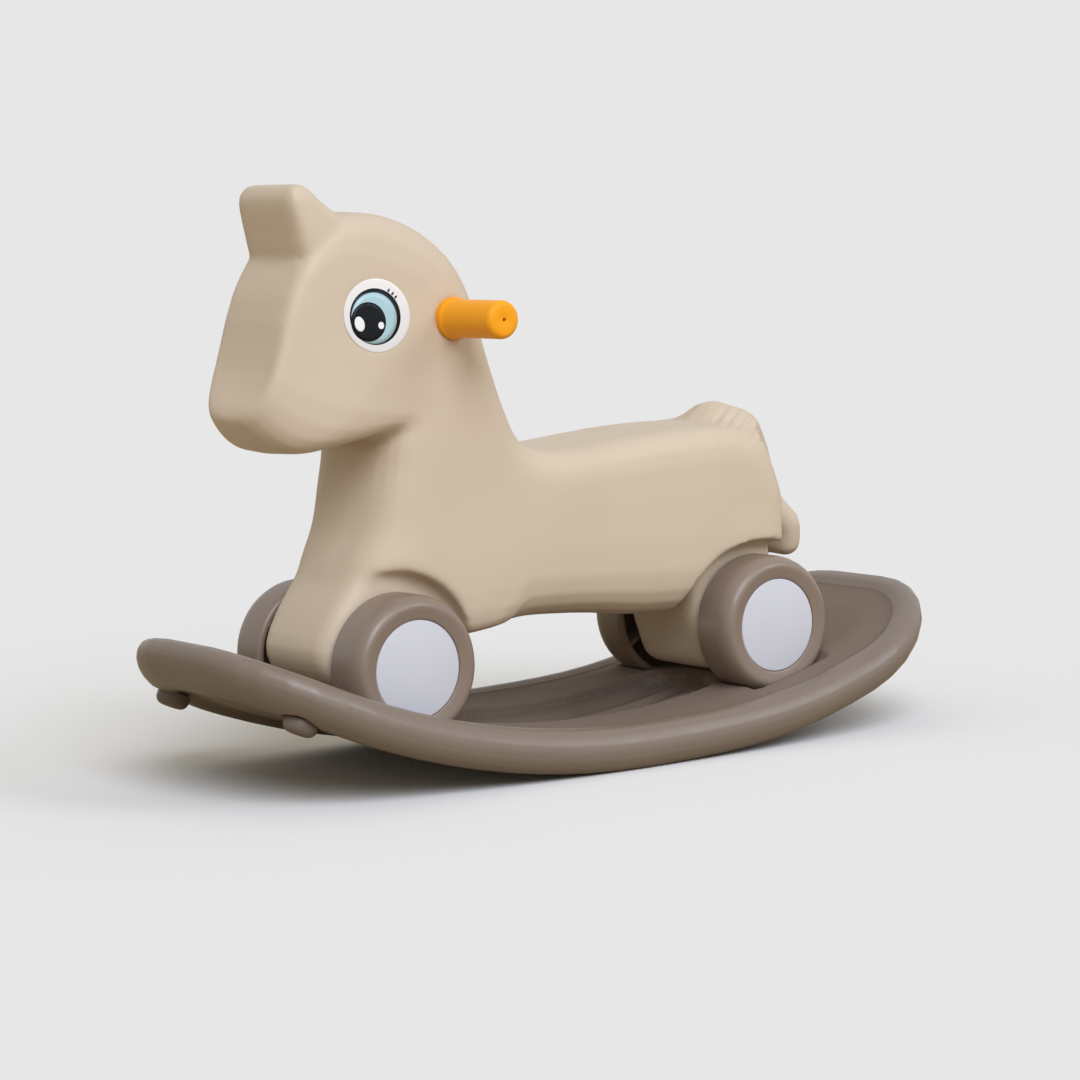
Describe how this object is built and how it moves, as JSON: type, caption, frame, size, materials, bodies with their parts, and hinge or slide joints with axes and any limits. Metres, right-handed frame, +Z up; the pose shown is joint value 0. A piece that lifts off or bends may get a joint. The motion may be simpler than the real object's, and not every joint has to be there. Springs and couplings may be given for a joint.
{
  "type": "ride-on horse",
  "caption": "Moulded toy horse on free-turning wheels, with side grips and a seat along its back, parked in the wells of a loose curved rocker board.",
  "frame": {"origin": "on the floor, under the middle of the rocker board's length and width", "axes": "+X the way the horse faces, +Y its left side, +Z up"},
  "size_m": [0.734, 0.29, 0.489],
  "materials": {
    "board_plastic": "satin moulded, taupe",
    "foot_plastic": "satin moulded, taupe",
    "body_plastic": "satin moulded, beige",
    "bush_plastic": "natural",
    "axle_steel": "drawn, zinc plated",
    "nut_steel": "pressed spring steel",
    "wheel_plastic": "satin moulded, taupe",
    "cap_plastic": "semi gloss, pale grey",
    "bar_steel": "drawn tube, zinc plated",
    "grip_plastic": "soft satin, orange",
    "eye_plastic": "gloss, white"
  },
  "bodies": {
    "rocker": {"rocker_board": "board_plastic", "stop_feet": "foot_plastic"},
    "horse": {"horse_body": "body_plastic", "axle_bushes": "bush_plastic", "front_axle": "axle_steel", "rear_axle": "axle_steel", "push_nuts": "nut_steel", "handle_bar": "bar_steel", "grip_left": "grip_plastic", "grip_right": "grip_plastic", "eye_left": "eye_plastic", "eye_right": "eye_plastic"},
    "front_left_wheel": {"wheel_front_left": "wheel_plastic", "hub_cap_front_left": "cap_plastic"},
    "front_right_wheel": {"wheel_front_right": "wheel_plastic", "hub_cap_front_right": "cap_plastic"},
    "rear_left_wheel": {"wheel_rear_left": "wheel_plastic", "hub_cap_rear_left": "cap_plastic"},
    "rear_right_wheel": {"wheel_rear_right": "wheel_plastic", "hub_cap_rear_right": "cap_plastic"}
  },
  "joints": [
    {"name": "horse_lift", "type": "slide", "parent": "rocker", "child": "horse", "axis": [0, 0, 1], "range_m": [0, 0.25]},
    {"name": "front_left_spin", "type": "hinge", "parent": "horse", "child": "front_left_wheel", "pos_m": [0.2, 0.07485, 0.099], "axis": [0, 1, 0], "continuous": true},
    {"name": "front_right_spin", "type": "hinge", "parent": "horse", "child": "front_right_wheel", "pos_m": [0.2, -0.07485, 0.099], "axis": [0, 1, 0], "continuous": true},
    {"name": "rear_left_spin", "type": "hinge", "parent": "horse", "child": "rear_left_wheel", "pos_m": [-0.18, 0.07485, 0.099], "axis": [0, 1, 0], "continuous": true},
    {"name": "rear_right_spin", "type": "hinge", "parent": "horse", "child": "rear_right_wheel", "pos_m": [-0.18, -0.07485, 0.099], "axis": [0, 1, 0], "continuous": true}
  ]
}
